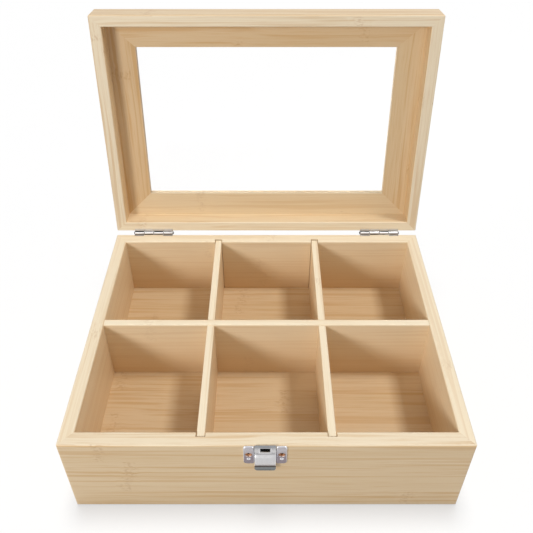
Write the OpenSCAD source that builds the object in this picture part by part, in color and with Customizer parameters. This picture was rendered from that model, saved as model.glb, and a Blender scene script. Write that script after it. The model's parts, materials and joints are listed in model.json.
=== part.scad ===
// Bamboo tea bag organizer box: a six-compartment tray with a hinged window lid.
// The origin is the centre of the base, +X is to the right, +Y to the back, +Z up.
// The lid is stored open, leaning back on the stops of its two hinges.

/* [Box] */
// Outer width of the box and of its lid
box_w = 290; // [260:1:320]
// Outer depth, front to back
box_d = 212; // [190:1:240]
// Height of the box without its lid
box_h = 83; // [75:1:95]
// Thickness of the four walls
wall_t = 10.5; // [9.5:0.5:13]
// Radius of the eased long edges
ease_r = 1.2; // [0.6:0.1:1.6]
// Radius of the upright corners
corner_r = 1.6; // [1:0.1:3]
// Thickness of the bottom panel
bottom_t = 7; // [4:0.5:8]
// Height of the recess under the bottom panel
foot_h = 12; // [6:1:14]
// How far the bottom panel is let into each wall
bottom_tongue = 4; // [3:0.5:5]

/* [Dividers] */
// Thickness of the dividers
divider_t = 6; // [4:0.5:7]
// Distance of each long divider from the middle
divider_x = 46; // [40:1:52]
// Depth of the open-topped grooves that take the long dividers
dado_depth = 3.8; // [3:0.2:5]
// Side clearance of a divider in its groove
dado_gap = 0.4; // [0.1:0.1:0.5]
// How far the long dividers stop below the rim
divider_drop = 1; // [0.5:0.1:2]
// How far the cross divider stops below the rim
cross_drop = 0.4; // [0.2:0.1:2]

/* [Lid] */
// Total thickness of the lid
lid_h = 20; // [18:1:24]
// Width of the lid rails
rail_t = 10; // [9.5:0.5:12]
// Thickness of the window frame
window_frame_t = 5.5; // [5:0.5:6]
// How far the window frame is let into the rails
window_rebate = 4; // [3:0.5:5]
// Visible width of the window frame at the sides
window_side_w = 23; // [18:0.5:30]
// Visible width of the window frame at the front
window_front_w = 21.5; // [18:0.5:30]
// Visible width of the window frame at the hinges
window_back_w = 24; // [18:0.5:30]
// Thickness of the clear pane
pane_t = 2; // [1.5:0.5:2.5]
// How far the pane is let into its frame
pane_tongue = 3; // [2:0.5:4]
// Gap between the rims when the lid is shut
seam = 0.3; // [0.2:0.1:0.6]
// Angle of the open lid from shut
lid_open = 97; // [0:1:100]

/* [Hinges] */
// Distance of each hinge from the middle
hinge_x = 109.5; // [90:0.5:115]
// Width of a hinge
hinge_w = 37; // [32:1:44]
// Height of a hinge leaf
leaf_h = 13; // [12:0.5:14]
// Thickness of a hinge leaf
leaf_t = 0.9; // [0.8:0.1:1.2]
// Distance of the hinge axis behind the back face
hinge_back = 2.2; // [2.1:0.1:3]
// Radius of the knuckles
knuckle_r = 1.8; // [1.6:0.1:1.9]
// Radius of the hinge pin
hinge_pin_r = 0.8; // [0.7:0.1:1]
// Width of the lip that the box leaf turns over the rim
box_lip = 2.2; // [1.5:0.1:3]
// Width of the lip that the lid leaf turns over the rim
lid_lip = 2.4; // [1.5:0.1:3.5]

/* [Latch] */
// Distance of the latch from the middle of the front
latch_x = -0.9; // [-3:0.1:3]
// Width of the whole latch
latch_w = 30.6; // [28:0.2:34]
// Height of the latch plate
latch_h = 21; // [20:0.5:24]
// Width of the lever
lever_w = 15; // [14:0.5:16]
// Depth of the lever's pivot below the rim
pivot_drop = 10; // [9:0.5:11]
// Width of the slot in the lever
slot_w = 6.8; // [6.6:0.1:7.5]
// Distance of each latch screw from the middle
latch_screw_x = 11.6; // [11.2:0.1:12]
// Depth of the latch screws below the rim
latch_screw_drop = 9.3; // [8:0.1:12]

/* [Hidden] */

$fn = 48;
eps = 0.01;

// box, worked out
inner_w = box_w - 2 * wall_t;
inner_d = box_d - 2 * wall_t;
floor_z = foot_h + bottom_t;
bottom_w = inner_w + 2 * bottom_tongue;
bottom_d = inner_d + 2 * bottom_tongue;
groove_gap = 0.2;
divider_ease = 0.8;
dado_end_gap = 0.8;
halving_gap = 0.05;
divider_top = box_h - divider_drop;
cross_top = box_h - cross_drop;
halving_z = (floor_z + divider_top) / 2;

// lid, worked out in its shut place
lid_z = box_h + seam;
lid_top = lid_z + lid_h;
frame_z = lid_top - window_frame_t;
frame_w = box_w - 2 * rail_t + 2 * window_rebate;
frame_d = box_d - 2 * rail_t + 2 * window_rebate;
side_member = window_side_w + window_rebate;
front_member = window_front_w + window_rebate;
back_member = window_back_w + window_rebate;
open_w = frame_w - 2 * side_member;
open_d = frame_d - front_member - back_member;
open_y = (front_member - back_member) / 2;
pane_z = frame_z + (window_frame_t - pane_t) / 2;

// hinges, worked out
axis_y = box_d / 2 + hinge_back;
axis_z = box_h + seam / 2;
knuckles = 4;
knuckle_gap = 0.6;
lip_slit = 0.5;
box_tabs = [0, 3];
lid_tabs = [0, 1, 2, 3];
knuckle_len = hinge_w / knuckles;
pin_gap = 0.05;
lip_t = 0.8;
relief_r = knuckle_r + 0.2;
hinge_screw_x = 11;
hinge_screw_drop = 8.5;
hinge_shank_r = 1.2;
hinge_head_r = 2.3;
hinge_shank_len = 8.5;

// latch, worked out; depths here count down from the rim and outwards from the front face
plate_t = 1.3;
ear_chamfer = 0.5;
screw_sink = 0.9;
sheet_t = 0.8;
lever_gap = 0.25;
ear_x = lever_w / 2 + 0.4;
pan_x = lever_w / 2 + lever_gap;
pan_depth = 3;
pan_top = 3.5;
pan_foot = 20.6;
relief_foot = 22.2;
relief_depth = 0.9;
pivot_y = 1;
latch_pin_r = 0.6;
lever_face = 0.9;
lever_top = -1.2;
body_r = 10;
body_start = pivot_drop + 0.5;
body_end = body_start + 11;
body_bulge = 4.2;
body_x = body_bulge - body_r;
body_y = -(body_start + body_end) / 2;
body_end_x = body_x + sqrt(pow(body_r, 2) - pow((body_end - body_start) / 2, 2));
lip_r = 2.2;
slot_top = 1.2;
slot_h = 4.6;
latch_shank_r = 1.3;
latch_head_r = 2.4;
latch_shank_len = 9;
spring_wire_r = 0.2;
spring_coil_r = 0.85;
spring_turns = 6;
spring_pitch = 0.5;

// colours
bamboo = "#dcbc8c";
bamboo_light = "#e8d2a8";
steel = "#b9babd";
steel_dark = "#8d8f92";
copper = "#b07a4e";

// ---------- shared shapes ----------

// Rectangle with round corners, centred, made of squares and circles
module round_rect(w, h, r) {
    square([w - 2 * r, h], center = true);
    square([w, h - 2 * r], center = true);
    for (x = [-1, 1], y = [-1, 1])
        translate([x * (w / 2 - r), y * (h / 2 - r)]) circle(r);
}

// Bar along X of length len, its eased section t thick and h tall, standing on z = 0
module eased_bar(len, t, h, r) {
    translate([-len / 2, 0, h / 2]) rotate([90, 0, 90]) linear_extrude(len) round_rect(t, h, r);
}

// Footprint of a mitred member on side number side (0 front, 1 right, 2 back, 3 left)
module mitre_outline(w, d, side) {
    reach = min(w, d) / 2;
    points = [
        [[-w / 2, -d / 2], [w / 2, -d / 2], [w / 2 - reach, -d / 2 + reach], [-w / 2 + reach, -d / 2 + reach]],
        [[w / 2, -d / 2], [w / 2, d / 2], [w / 2 - reach, d / 2 - reach], [w / 2 - reach, -d / 2 + reach]],
        [[w / 2, d / 2], [-w / 2, d / 2], [-w / 2 + reach, d / 2 - reach], [w / 2 - reach, d / 2 - reach]],
        [[-w / 2, d / 2], [-w / 2, -d / 2], [-w / 2 + reach, -d / 2 + reach], [-w / 2 + reach, d / 2 - reach]]];
    polygon(points[side]);
}

// One mitred member of a w by d frame, t wide and h tall, standing on z = 0
module mitred_member(w, d, t, h, side) {
    along_x = side % 2 == 0;
    len = along_x ? w : d;
    offset_out = (along_x ? d : w) / 2 - t / 2;
    turn = [0, 90, 180, 270][side];
    intersection() {
        rotate([0, 0, turn]) translate([0, -offset_out, 0]) eased_bar(len, t, h, ease_r);
        linear_extrude(h) mitre_outline(w, d, side);
        linear_extrude(h) round_rect(w, d, corner_r);
    }
}

// Countersunk wood screw pointing along -Z with its head's face at z = 0
module wood_screw(shank_r, head_r, shank_len) {
    head_h = head_r - shank_r;
    difference() {
        union() {
            translate([0, 0, -head_h]) cylinder(h = head_h, r1 = shank_r, r2 = head_r);
            translate([0, 0, -shank_len]) cylinder(h = shank_len - head_h, r = shank_r);
            translate([0, 0, -shank_len - shank_r]) cylinder(h = shank_r, r1 = 0.2, r2 = shank_r);
        }
        for (turn = [0, 90])
            rotate([0, 0, turn]) translate([0, 0, -head_h / 4])
                cube([head_r * 1.1, head_r * 0.25, head_h], center = true);
    }
}

// The room that a wood screw takes up, for pilot holes
module screw_room(shank_r, head_r, shank_len) {
    head_h = head_r - shank_r;
    translate([0, 0, -head_h]) cylinder(h = head_h, r1 = shank_r, r2 = head_r);
    translate([0, 0, -shank_len - shank_r]) cylinder(h = shank_len + shank_r, r = shank_r);
    cylinder(h = head_h, r = head_r);
}

// ---------- places ----------

// Turns the shut lid to its open place
module open_lid() {
    translate([0, axis_y, axis_z]) rotate([-lid_open, 0, 0]) translate([0, -axis_y, -axis_z]) children();
}

// Origin on the box's front top edge, in the middle of the latch
module at_latch() {
    translate([latch_x, -box_d / 2, box_h]) children();
}

// Both latch screws, pointing into the front wall
module at_latch_screws() {
    at_latch() for (x = [-1, 1])
        translate([x * latch_screw_x, screw_sink - plate_t, -latch_screw_drop]) rotate([90, 0, 0]) children();
}

// The screws of both hinges: up = -1 on the box, 1 on the lid
module at_hinge_screws(up) {
    for (side = [-1, 1], x = [-1, 1])
        translate([side * hinge_x + x * hinge_screw_x, box_d / 2 + leaf_t, axis_z + up * hinge_screw_drop])
            rotate([-90, 0, 0]) children();
}

// ---------- box ----------

module bottom_groove() {
    translate([0, 0, foot_h + bottom_t / 2])
        cube([bottom_w + 2 * groove_gap, bottom_d + 2 * groove_gap, bottom_t], center = true);
}

module dado_cuts() {
    w = divider_t + 2 * dado_gap;
    for (x = [-1, 1])
        translate([x * divider_x - w / 2, -inner_d / 2 - dado_depth, floor_z])
            cube([w, inner_d + 2 * dado_depth, box_h]);
}

// Room for the latch pan, and below it a shallow relief for the lever's foot when it is pressed in
module latch_pocket() {
    half = pan_x + sheet_t;
    at_latch() {
        translate([-half, -eps, -pan_foot]) cube([2 * half, pan_depth + eps, pan_foot - pan_top]);
        translate([-pan_x, -eps, -relief_foot]) cube([2 * pan_x, relief_depth + eps, relief_foot - pan_foot + 1]);
    }
}

module hinge_seats() {
    for (side = [-1, 1], k = box_tabs)
        translate([side * hinge_x - hinge_w / 2 + k * knuckle_len, box_d / 2 - box_lip, box_h - lip_t])
            cube([knuckle_len, box_lip + 1, lip_t + 1]);
}

module front_wall() {
    color(bamboo) difference() {
        mitred_member(box_w, box_d, wall_t, box_h, 0);
        bottom_groove();
        dado_cuts();
        latch_pocket();
        at_latch_screws() screw_room(latch_shank_r, latch_head_r, latch_shank_len);
    }
}

module back_wall() {
    color(bamboo) difference() {
        mitred_member(box_w, box_d, wall_t, box_h, 2);
        bottom_groove();
        dado_cuts();
        hinge_seats();
        at_hinge_screws(-1) screw_room(hinge_shank_r, hinge_head_r, hinge_shank_len);
    }
}

module side_wall(side) {
    color(bamboo) difference() {
        mitred_member(box_w, box_d, wall_t, box_h, side);
        bottom_groove();
    }
}

module left_wall() { side_wall(3); }
module right_wall() { side_wall(1); }

module bottom_panel() {
    color(bamboo) translate([0, 0, foot_h + bottom_t / 2])
        cube([bottom_w, bottom_d, bottom_t], center = true);
}

// ---------- dividers ----------

// Board along X with round top edges, standing on the bottom panel
module divider_board(len, top) {
    h = top - floor_z;
    r = divider_ease;
    translate([-len / 2, 0, floor_z]) rotate([90, 0, 90]) linear_extrude(len) {
        translate([0, h / 2 - r / 2]) square([divider_t, h - r], center = true);
        translate([0, h / 2]) square([divider_t - 2 * r, h], center = true);
        for (y = [-1, 1]) translate([y * (divider_t / 2 - r), h - r]) circle(r);
    }
}

module cross_divider() {
    color(bamboo_light) difference() {
        divider_board(inner_w, cross_top);
        for (x = [-1, 1])
            translate([x * divider_x - divider_t / 2 - halving_gap, -divider_t, floor_z - 1])
                cube([divider_t + 2 * halving_gap, 2 * divider_t, halving_z - floor_z + 1]);
    }
}

module long_divider() {
    len = inner_d + 2 * (dado_depth - dado_end_gap);
    color(bamboo_light) difference() {
        rotate([0, 0, 90]) divider_board(len, divider_top);
        translate([-divider_t, -divider_t / 2 - halving_gap, halving_z])
            cube([2 * divider_t, divider_t + 2 * halving_gap, box_h]);
    }
}

module left_divider() { translate([-divider_x, 0, 0]) long_divider(); }
module right_divider() { translate([divider_x, 0, 0]) long_divider(); }

// ---------- lid ----------

module window_seat() {
    translate([-frame_w / 2, -frame_d / 2, frame_z]) cube([frame_w, frame_d, window_frame_t + 1]);
}

module lid_rail(side) {
    difference() {
        translate([0, 0, lid_z]) mitred_member(box_w, box_d, rail_t, lid_h, side);
        window_seat();
        if (side == 2) {
            for (x = [-1, 1])
                translate([x * hinge_x - hinge_w / 2, box_d / 2 - lid_lip, lid_z - 1])
                    cube([hinge_w, lid_lip + 1, lip_t + 1]);
            at_hinge_screws(1) screw_room(hinge_shank_r, hinge_head_r, hinge_shank_len);
        }
    }
}

module lid_front_rail() { color(bamboo) open_lid() lid_rail(0); }
module lid_right_rail() { color(bamboo) open_lid() lid_rail(1); }
module lid_back_rail() { color(bamboo) open_lid() lid_rail(2); }
module lid_left_rail() { color(bamboo) open_lid() lid_rail(3); }

// Outline of one mitred window member, between the frame's corners and the opening's
module window_outline(side) {
    outer = [[-1, -1], [1, -1], [1, 1], [-1, 1]];
    a = outer[side];
    b = outer[(side + 1) % 4];
    out_a = [a[0] * frame_w / 2, a[1] * frame_d / 2];
    out_b = [b[0] * frame_w / 2, b[1] * frame_d / 2];
    in_a = [a[0] * open_w / 2, open_y + a[1] * open_d / 2];
    in_b = [b[0] * open_w / 2, open_y + b[1] * open_d / 2];
    polygon([out_a, out_b, in_b, in_a]);
}

module window_member(side) {
    color(bamboo_light) open_lid() difference() {
        translate([0, 0, frame_z]) linear_extrude(window_frame_t) window_outline(side);
        translate([0, open_y, pane_z + pane_t / 2])
            cube([open_w + 2 * (pane_tongue + groove_gap), open_d + 2 * (pane_tongue + groove_gap), pane_t],
                 center = true);
    }
}

module window_front_rail() { window_member(0); }
module window_right_stile() { window_member(1); }
module window_back_rail() { window_member(2); }
module window_left_stile() { window_member(3); }

module window_pane() {
    color([0.85, 0.92, 0.95, 0.35]) open_lid() translate([0, open_y, pane_z + pane_t / 2])
        cube([open_w + 2 * pane_tongue, open_d + 2 * pane_tongue, pane_t], center = true);
}

// ---------- hinges ----------

// A leaf in its shut place about x = 0. up = -1 for the box leaf, 1 for the lid leaf.
module hinge_leaf(up, lip, tabs) {
    first = up == 1 ? 0 : 1;
    rim_z = up * seam / 2;
    difference() {
        union() {
            translate([-hinge_w / 2, -hinge_back, up == 1 ? rim_z : -leaf_h])
                cube([hinge_w, leaf_t, leaf_h - seam / 2]);
            // the lip over the rim is slit into tabs
            for (k = tabs)
                translate([-hinge_w / 2 + k * knuckle_len + lip_slit / 2, -hinge_back - lip,
                           up == 1 ? rim_z : rim_z - lip_t])
                    cube([knuckle_len - lip_slit, lip + eps, lip_t]);
            for (k = [first, first + 2])
                translate([-hinge_w / 2 + k * knuckle_len + knuckle_gap / 2, 0, 0])
                    rotate([0, 90, 0]) cylinder(h = knuckle_len - knuckle_gap, r = knuckle_r);
        }
        // room for the other leaf's knuckles
        for (k = [1 - first, 3 - first])
            translate([-hinge_w / 2 + k * knuckle_len - knuckle_gap / 2, 0, 0])
                rotate([0, 90, 0]) cylinder(h = knuckle_len + knuckle_gap, r = relief_r);
        translate([-hinge_w, 0, 0]) rotate([0, 90, 0])
            cylinder(h = 2 * hinge_w, r = hinge_pin_r + pin_gap);
        for (x = [-1, 1])
            translate([x * hinge_screw_x, -hinge_back + leaf_t, up * hinge_screw_drop]) rotate([-90, 0, 0])
                screw_room(hinge_shank_r, hinge_head_r, hinge_shank_len);
    }
}

module hinge_pin() {
    r = hinge_pin_r;
    head_r = 1.3;
    color(steel_dark) rotate([0, 90, 0]) {
        cylinder(h = hinge_w, r = r, center = true);
        for (end = [-1, 1])
            translate([0, 0, end * (hinge_w / 2 + 0.4)]) cylinder(h = 0.8, r = head_r, center = true);
    }
}

module at_hinge(side) {
    translate([side * hinge_x, axis_y, axis_z]) children();
}

module left_hinge_box_leaf() { color(steel) at_hinge(-1) hinge_leaf(-1, box_lip, box_tabs); }
module right_hinge_box_leaf() { color(steel) at_hinge(1) hinge_leaf(-1, box_lip, box_tabs); }
module left_hinge_lid_leaf() { color(steel) open_lid() at_hinge(-1) hinge_leaf(1, lid_lip, lid_tabs); }
module right_hinge_lid_leaf() { color(steel) open_lid() at_hinge(1) hinge_leaf(1, lid_lip, lid_tabs); }
module left_hinge_pin() { at_hinge(-1) hinge_pin(); }
module right_hinge_pin() { at_hinge(1) hinge_pin(); }

module hinge_box_screws() {
    color(steel) at_hinge_screws(-1) wood_screw(hinge_shank_r, hinge_head_r, hinge_shank_len);
}
module hinge_lid_screws() {
    color(steel) open_lid() at_hinge_screws(1) wood_screw(hinge_shank_r, hinge_head_r, hinge_shank_len);
}

// ---------- latch ----------

// A plate drawn in the front view (x, height), t thick, standing out of the front face
module front_sheet(t) {
    rotate([90, 0, 0]) linear_extrude(t) children();
}

// Front view of one ear of the latch plate, with its lower outer corner well rounded
module ear_outline() {
    x0 = ear_x;
    x1 = latch_w / 2;
    r = 2.6;
    top_r = 1.2;
    translate([x0, -latch_h]) square([x1 - x0 - r, latch_h]);
    translate([x0, -latch_h + r]) square([x1 - x0, latch_h - r - top_r]);
    translate([x1 - r - eps, -top_r - eps]) square([r - top_r + eps, top_r + eps]);
    translate([x1 - r, -latch_h + r]) circle(r);
    translate([x1 - top_r, -top_r]) circle(top_r);
}

// Seen from above: an ear whose outer front edge is chamfered
module ear_plan() {
    x1 = latch_w / 2;
    polygon([[ear_x, 0], [x1, 0], [x1, ear_chamfer - plate_t], [x1 - ear_chamfer, -plate_t],
             [ear_x, -plate_t]]);
}

// Side view of an ear: its top and foot are chamfered
module ear_section() {
    polygon([[0, 0], [0, -latch_h], [plate_t - ear_chamfer, -latch_h], [plate_t, -latch_h + ear_chamfer],
             [plate_t, -ear_chamfer], [plate_t - ear_chamfer, 0]]);
}

module latch_plate() {
    wall_h = pan_foot - pan_top;
    color(steel) at_latch() difference() {
        union() {
            for (side = [0, 1]) mirror([side, 0, 0]) {
                intersection() {
                    front_sheet(plate_t) ear_outline();
                    translate([0, 0, -latch_h]) linear_extrude(latch_h) ear_plan();
                    side_solid(0, latch_w) ear_section();
                }
                translate([pan_x, -sheet_t, -pan_foot]) cube([sheet_t, sheet_t + pan_depth, wall_h]);
            }
            translate([-pan_x - sheet_t, pan_depth - sheet_t, -pan_foot])
                cube([2 * (pan_x + sheet_t), sheet_t, wall_h]);
        }
        translate([-latch_w, pivot_y, -pivot_drop]) rotate([0, 90, 0])
            cylinder(h = 2 * latch_w, r = latch_pin_r);
        for (x = [-1, 1])
            translate([x * latch_screw_x, screw_sink - plate_t, -latch_screw_drop]) rotate([90, 0, 0]) {
                screw_room(latch_shank_r, latch_head_r, latch_shank_len);
                translate([0, 0, -eps]) cylinder(h = screw_sink + 1, r = latch_head_r);
            }
    }
}

// Side view of the lever's sheet: x is the distance out of the front face, y the height
module lever_profile() {
    lip_x = body_end_x + lip_r - 0.1;
    // flat upper part with the slot, and the step out to the body
    translate([lever_face - sheet_t, -body_start]) square([sheet_t, body_start - lever_top]);
    polygon([[lever_face - sheet_t, 1 - body_start], [lever_face, 1 - body_start], [body_end_x, -body_start],
             [body_end_x, -body_start - 0.8], [body_end_x - sheet_t, -body_start - 0.8],
             [lever_face - sheet_t, -body_start]]);
    // bulging body
    intersection() {
        translate([body_x, body_y]) difference() {
            circle(body_r, $fn = 96);
            circle(body_r - sheet_t, $fn = 96);
        }
        translate([0, -body_end]) square([body_bulge + 1, body_end - body_start + 0.2]);
    }
    // flared lip
    translate([lip_x, -body_end]) intersection() {
        difference() {
            circle(lip_r);
            circle(lip_r - sheet_t);
        }
        translate([-lip_r - 1, -lip_r - 1]) square([lip_r + 1, lip_r + 1.1]);
    }
}

// Front view of the lever, with rounded corners at the lip
module lever_outline() {
    r = 2;
    foot = body_end + lip_r;
    translate([-lever_w / 2, -foot + r]) square([lever_w, foot]);
    translate([-lever_w / 2 + r, -foot]) square([lever_w - 2 * r, foot]);
    for (x = [-1, 1]) translate([x * (lever_w / 2 - r), -foot + r]) circle(r);
}

// Side view of a lever flange, from the pin to the inside of the body
module flange_profile() {
    pin_boss = 1.1;
    difference() {
        union() {
            translate([-pivot_y, -pivot_drop]) circle(pin_boss);
            translate([-pivot_y, -pivot_drop - pin_boss]) square([lever_face - sheet_t / 2 + pivot_y, 2 * pin_boss]);
            intersection() {
                translate([body_x, body_y]) circle(body_r - sheet_t / 2, $fn = 96);
                translate([0.2, -body_end + 1.5]) square([body_bulge, body_end - body_start - 0.5]);
            }
        }
        translate([-pivot_y, -pivot_drop]) circle(latch_pin_r + pin_gap);
    }
}

// Turns a side view (distance out, height) into a solid len long, centred on x = at
module side_solid(at, len) {
    translate([at + len / 2, 0, 0]) rotate([90, 0, -90]) linear_extrude(len) children();
}

module latch_lever() {
    color(steel) at_latch() difference() {
        union() {
            intersection() {
                side_solid(0, lever_w) lever_profile();
                translate([0, 1, 0]) front_sheet(2 * body_r) lever_outline();
            }
            for (x = [-1, 1]) side_solid(x * (lever_w - sheet_t) / 2, sheet_t) flange_profile();
        }
        translate([-slot_w / 2, -lever_face - 1, -slot_top - slot_h]) cube([slot_w, 2, slot_h]);
    }
}

module latch_pin() {
    half = pan_x + sheet_t;
    color(steel_dark) at_latch() translate([-half, pivot_y, -pivot_drop]) rotate([0, 90, 0])
        cylinder(h = 2 * half, r = latch_pin_r);
}

module latch_screws() {
    color(copper) at_latch_screws() wood_screw(latch_shank_r, latch_head_r, latch_shank_len);
}

// Torsion spring round the pin: a leg down the back of the pan, six turns and a leg behind the lever's body.
// Its points are [x, distance out of the front face, height], about the middle of the front top edge.
spring_steps = 16;
spring_out = -pivot_y;
spring_start = [-spring_turns * spring_pitch / 2, spring_out - spring_coil_r, -pivot_drop - 5.5];
spring_end_x = (spring_turns + 0.5) * spring_pitch - spring_turns * spring_pitch / 2;
spring_knee = [spring_end_x, spring_out + spring_coil_r - 0.02, -pivot_drop - 1.4];
spring_end = [spring_end_x, 2.6, -pivot_drop - 3.5];
spring_coil = [for (i = [0 : (spring_turns + 0.5) * spring_steps])
    let (turn = 180 - 360 * i / spring_steps)
    [i / spring_steps * spring_pitch - spring_turns * spring_pitch / 2,
     spring_out + spring_coil_r * cos(turn),
     -pivot_drop + spring_coil_r * sin(turn)]];
spring_path = concat([spring_start], spring_coil, [spring_knee, spring_end]);

function direction(p, i) = let (a = p[max(i - 1, 0)], b = p[min(i + 1, len(p) - 1)]) (b - a) / norm(b - a);
function unit(v) = v / norm(v);

module swept_wire(p, r, sides) {
    n = len(p);
    rings = [for (i = [0 : n - 1])
        let (t = direction(p, i), a = unit([1, 0, 0] - t * t[0]), b = cross(t, a))
        for (k = [0 : sides - 1]) p[i] + r * (a * cos(360 * k / sides) + b * sin(360 * k / sides))];
    walls = [for (i = [0 : n - 2], k = [0 : sides - 1])
        [i * sides + k, i * sides + (k + 1) % sides, (i + 1) * sides + (k + 1) % sides, (i + 1) * sides + k]];
    caps = [[for (k = [sides - 1 : -1 : 0]) k], [for (k = [0 : sides - 1]) (n - 1) * sides + k]];
    polyhedron(points = rings, faces = concat(walls, caps), convexity = 10);
}

module latch_spring() {
    color(steel_dark) at_latch() mirror([0, 1, 0]) swept_wire(spring_path, spring_wire_r, 8);
}

front_wall();
back_wall();
left_wall();
right_wall();
bottom_panel();
cross_divider();
left_divider();
right_divider();
lid_front_rail();
lid_back_rail();
lid_left_rail();
lid_right_rail();
window_front_rail();
window_back_rail();
window_left_stile();
window_right_stile();
window_pane();
left_hinge_box_leaf();
left_hinge_lid_leaf();
left_hinge_pin();
right_hinge_box_leaf();
right_hinge_lid_leaf();
right_hinge_pin();
hinge_box_screws();
hinge_lid_screws();
latch_plate();
latch_lever();
latch_pin();
latch_spring();
latch_screws();
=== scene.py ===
import json
import math

import bmesh
import bpy
from mathutils import Matrix, Vector


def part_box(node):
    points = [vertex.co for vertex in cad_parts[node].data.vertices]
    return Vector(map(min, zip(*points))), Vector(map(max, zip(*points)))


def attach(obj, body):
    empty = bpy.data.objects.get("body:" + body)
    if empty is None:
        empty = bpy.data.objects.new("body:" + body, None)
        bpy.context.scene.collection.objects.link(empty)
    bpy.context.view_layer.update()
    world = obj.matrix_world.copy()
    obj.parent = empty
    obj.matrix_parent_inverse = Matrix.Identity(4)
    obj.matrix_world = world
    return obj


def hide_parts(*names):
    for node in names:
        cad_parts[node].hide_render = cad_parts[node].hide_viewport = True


# A bamboo tea bag organizer: a box with six compartments and a lid with a clear window, which stands open
# on two nickel hinges, over a nickel latch on the front. The bodies are "box", "lid" and "latch_lever".
# Meshes are drawn in millimetres, in the place where they belong, and become metres when they are finished.
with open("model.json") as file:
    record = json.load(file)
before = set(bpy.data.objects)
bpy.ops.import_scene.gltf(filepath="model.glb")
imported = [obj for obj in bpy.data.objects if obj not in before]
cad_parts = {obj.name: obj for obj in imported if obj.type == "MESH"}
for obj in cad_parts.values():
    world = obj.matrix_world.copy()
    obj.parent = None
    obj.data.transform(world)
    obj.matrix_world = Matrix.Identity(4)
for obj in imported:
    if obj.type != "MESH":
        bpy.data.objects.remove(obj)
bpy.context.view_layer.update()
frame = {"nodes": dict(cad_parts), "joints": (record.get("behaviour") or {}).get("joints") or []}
MM = 0.001

# ---- Camera ----
# It stands in front of the box and above it, and looks down into the compartments. The shift sets the box
# low in the picture, so that the open lid fits above it.
CAMERA_PLACE = (0, -0.3307, 0.4861)
CAMERA_DOWN = 35.15
CAMERA_SENSOR = 36
CAMERA_LENS = 40.97
CAMERA_SHIFT = -0.2111
camera_data = bpy.data.cameras.new("camera")
camera_data.sensor_width = CAMERA_SENSOR
camera_data.lens = CAMERA_LENS
camera_data.shift_y = CAMERA_SHIFT
camera = bpy.data.objects.new("camera", camera_data)
camera.location = CAMERA_PLACE
camera.rotation_euler = (math.radians(90 - CAMERA_DOWN), 0, 0)
bpy.context.scene.collection.objects.link(camera)
bpy.context.scene.camera = camera
bpy.context.scene.view_settings.view_transform = "Standard"

# ---- Studio ----
# A white room, a softbox at the front left, and a smaller one overhead and a little to the right. The floor
# is left to a wide soft light of its own, so that the box throws one short shadow forward.
ROOM_SHARE = 0.37
FLOOR_GLOW = 0.55
FLOOR_LIGHT_SHARE = 0.91
FLOOR_LIGHT_LEAN = 6.5
FLOOR_LIGHT_SPREAD = 18
FLOOR_SIZE = 12
FLOOR_GAP = 0.1
FLOOR_GREY = 160
# name, direction from the box, distance and size in metres, share
LAMPS = (("front_lamp", (-0.85, -1, 0.72), 1.7, 0.40, 0.44),
         ("top_lamp", (0.40, 0.03, 0.92), 2.2, 0.34, 0.38))
MIX_FACTOR, MIX_FIRST, MIX_SECOND, MIX_COLOUR = 0, 6, 7, 2


class Value:
    """The value of a node's socket. Arithmetic on it adds Math nodes, and node() adds any other node."""

    def __init__(self, tree, socket=None):
        self.tree = tree
        self.socket = socket

    def node(self, kind, settings=None, sockets=None, output=0):
        """Adds a node, its settings first and then the values or links of its sockets."""
        made = self.tree.nodes.new(kind)
        for name, setting in (settings or {}).items():
            setattr(made, name, setting)
        for key, given in (sockets or {}).items():
            if isinstance(given, Value):
                self.tree.links.new(given.socket, made.inputs[key])
            else:
                made.inputs[key].default_value = given
        return Value(self.tree, made.outputs[output] if len(made.outputs) else None)

    def other(self, output):
        """Another output of the same node."""
        return Value(self.tree, self.socket.node.outputs[output])

    def math(self, operation, first, second=0.0):
        return self.node("ShaderNodeMath", {"operation": operation}, {0: first, 1: second})

    def __add__(self, value):
        return self.math("ADD", self, value)

    def __sub__(self, value):
        return self.math("SUBTRACT", self, value)

    def __rsub__(self, value):
        return self.math("SUBTRACT", value, self)

    def __mul__(self, value):
        return self.math("MULTIPLY", self, value)

    def __truediv__(self, value):
        return self.math("DIVIDE", self, value)

    __radd__ = __add__
    __rmul__ = __mul__

    def floor(self):
        return self.math("FLOOR", self)

    def part(self):
        """What is left of the value above its whole number."""
        return self.math("FRACT", self)

    def size(self):
        return self.math("ABSOLUTE", self)

    def step(self, start, end):
        """Goes smoothly from 0 at start to 1 at end."""
        return self.node("ShaderNodeMapRange", {"interpolation_type": "SMOOTHSTEP"},
                         {"Value": self, "From Min": start, "From Max": end})

    def blend(self, first, second):
        """The first colour where this value is 0, the second where it is 1."""
        return self.node("ShaderNodeMix", {"data_type": "RGBA"},
                         {MIX_FACTOR: self, MIX_FIRST: first, MIX_SECOND: second}, MIX_COLOUR)

    def noise(self, stretch, detail=2.0, rough=0.5):
        """Noise over this place: stretch says how many times a metre it changes along each axis."""
        stretched = self.node("ShaderNodeVectorMath", {"operation": "MULTIPLY"}, {0: self, 1: stretch})
        return self.node("ShaderNodeTexNoise", {},
                         {"Vector": stretched, "Scale": 1.0, "Detail": detail, "Roughness": rough})

    def chance(self):
        """A number from 0 to 1 that is different for each whole number."""
        return self.node("ShaderNodeTexWhiteNoise", {"noise_dimensions": "1D"}, {"W": self})

    def bump(self, depth, strength):
        return self.node("ShaderNodeBump", {}, {"Height": self, "Distance": depth, "Strength": strength})


def paint(red, green, blue):
    """A colour from its display values, 0 to 255."""
    channels = [c / 255 for c in (red, green, blue)]
    return tuple(c / 12.92 if c <= 0.04045 else ((c + 0.055) / 1.055) ** 2.4 for c in channels) + (1.0,)


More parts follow.
